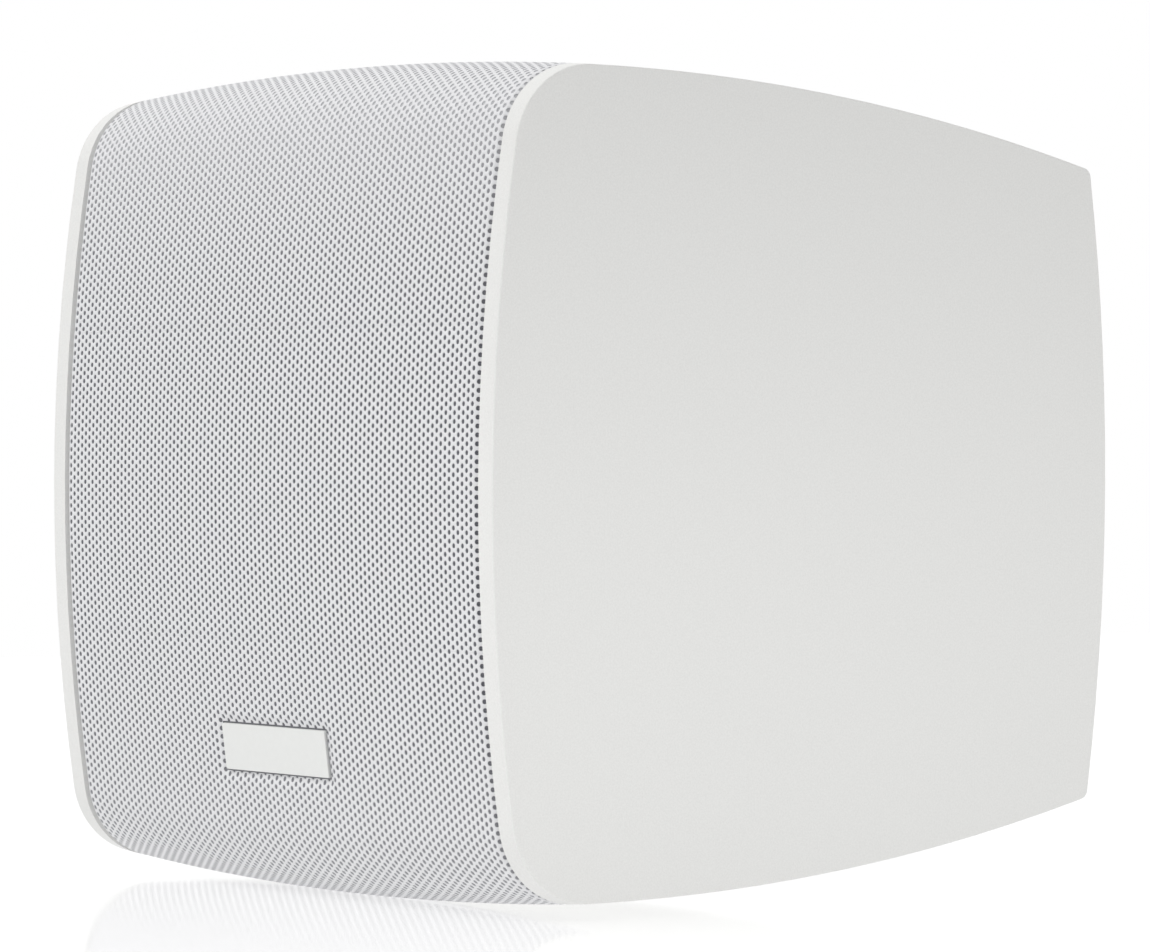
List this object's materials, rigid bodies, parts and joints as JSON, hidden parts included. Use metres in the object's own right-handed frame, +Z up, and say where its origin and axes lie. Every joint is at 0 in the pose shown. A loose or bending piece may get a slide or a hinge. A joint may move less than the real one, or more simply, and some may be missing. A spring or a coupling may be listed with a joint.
{
  "type": "two-way speaker",
  "caption": "White wall speaker with a crowned, bowed cabinet, a perforated grille wrapped over top and bottom, a woofer below a dome tweeter, and binding posts behind.",
  "frame": {"origin": "centre of the four threaded inserts, on the flat pad of the back", "axes": "+Y out of the back, so the front faces -Y; +X to the right of someone facing the front; +Z up"},
  "size_m": [0.24, 0.226, 0.2468],
  "materials": {
    "cabinet_white": "moulded, fine matt texture",
    "grille_white": "powder coated perforated steel",
    "grille_cloth_dark": "dark acoustic cloth",
    "badge_white": "moulded, satin",
    "baffle_black": "moulded board, matt black",
    "foam_black": "closed-cell foam",
    "screw_black": "black zinc",
    "basket_black": "pressed steel, black paint",
    "surround_rubber": "smooth rubber",
    "cone_paper": "coated paper",
    "dust_cap_paper": "coated paper",
    "spider_cloth": "resin-dipped cloth",
    "former_aluminium": "plain foil",
    "copper_winding": "enamelled copper wire",
    "motor_steel": "zinc plated",
    "ferrite": "sintered ferrite",
    "tag_fibre": "hard fibre",
    "terminal_brass": "turned brass",
    "faceplate_black": "moulded, matt black",
    "dome_cloth": "coated cloth",
    "terminal_black": "moulded, matt black",
    "board_green": "glass-epoxy board",
    "capacitor_film": "dipped film",
    "resistor_cement": "cement body",
    "felt_grey": "felt",
    "lead_pvc": "PVC sheath",
    "post_red": "moulded",
    "post_black": "moulded"
  },
  "bodies": {
    "root": {"cabinet_shell": "cabinet_white", "mounting_inserts": "terminal_brass", "front_baffle": "baffle_black", "baffle_gasket": "foam_black", "baffle_screws": "screw_black", "woofer_basket": "basket_black", "woofer_gasket": "foam_black", "woofer_screws": "screw_black", "woofer_surround": "surround_rubber", "woofer_spider": "spider_cloth", "woofer_top_plate": "motor_steel", "woofer_magnet": "ferrite", "woofer_yoke": "motor_steel", "woofer_tag_strip": "tag_fibre", "woofer_tag_tabs": "terminal_brass", "tweeter_faceplate": "faceplate_black", "tweeter_screws": "screw_black", "tweeter_suspension": "dome_cloth", "tweeter_top_plate": "motor_steel", "tweeter_magnet": "ferrite", "tweeter_yoke": "motor_steel", "terminal_cup": "terminal_black", "terminal_gasket": "foam_black", "terminal_screws": "screw_black", "crossover_board": "board_green", "board_screws": "screw_black", "low_pass_inductor": "copper_winding", "high_pass_inductor": "copper_winding", "crossover_capacitors": "capacitor_film", "crossover_resistor": "resistor_cement", "damping_felt": "felt_grey", "input_leads": "lead_pvc", "woofer_leads": "lead_pvc", "tweeter_leads": "lead_pvc", "red_post_collar": "post_red", "black_post_collar": "post_black", "post_studs": "terminal_brass", "post_nuts": "terminal_brass"},
    "grille_panel": {"grille": "grille_white", "grille_cloth": "grille_cloth_dark", "badge_plate": "badge_white"},
    "woofer_moving": {"woofer_cone": "cone_paper", "woofer_dust_cap": "dust_cap_paper", "woofer_coil_former": "former_aluminium", "woofer_coil_winding": "copper_winding"},
    "tweeter_moving": {"tweeter_dome": "dome_cloth", "tweeter_coil": "copper_winding"},
    "red_knob": {"red_post_knob": "post_red"},
    "black_knob": {"black_post_knob": "post_black"}
  },
  "joints": [
    {"name": "grille_pull", "type": "slide", "parent": "root", "child": "grille_panel", "axis": [0, -1, 0], "range_m": [0, 0.06]},
    {"name": "woofer_travel", "type": "slide", "parent": "root", "child": "woofer_moving", "axis": [0, -1, 0], "range_m": [-0.004, 0.004], "stiffness_N_per_m": 1000, "deforming": ["woofer_surround", "woofer_spider"]},
    {"name": "tweeter_travel", "type": "slide", "parent": "root", "child": "tweeter_moving", "axis": [0, -1, 0], "range_m": [-0.0004, 0.0004], "stiffness_N_per_m": 200, "deforming": ["tweeter_suspension"]},
    {"name": "red_knob_turn", "type": "hinge", "parent": "root", "child": "red_knob", "pos_m": [-0.013, -0.012, -0.072], "axis": [0, 1, 0], "range_deg": [0, 900]},
    {"name": "black_knob_turn", "type": "hinge", "parent": "root", "child": "black_knob", "pos_m": [0.013, -0.012, -0.072], "axis": [0, 1, 0], "range_deg": [0, 900]}
  ]
}
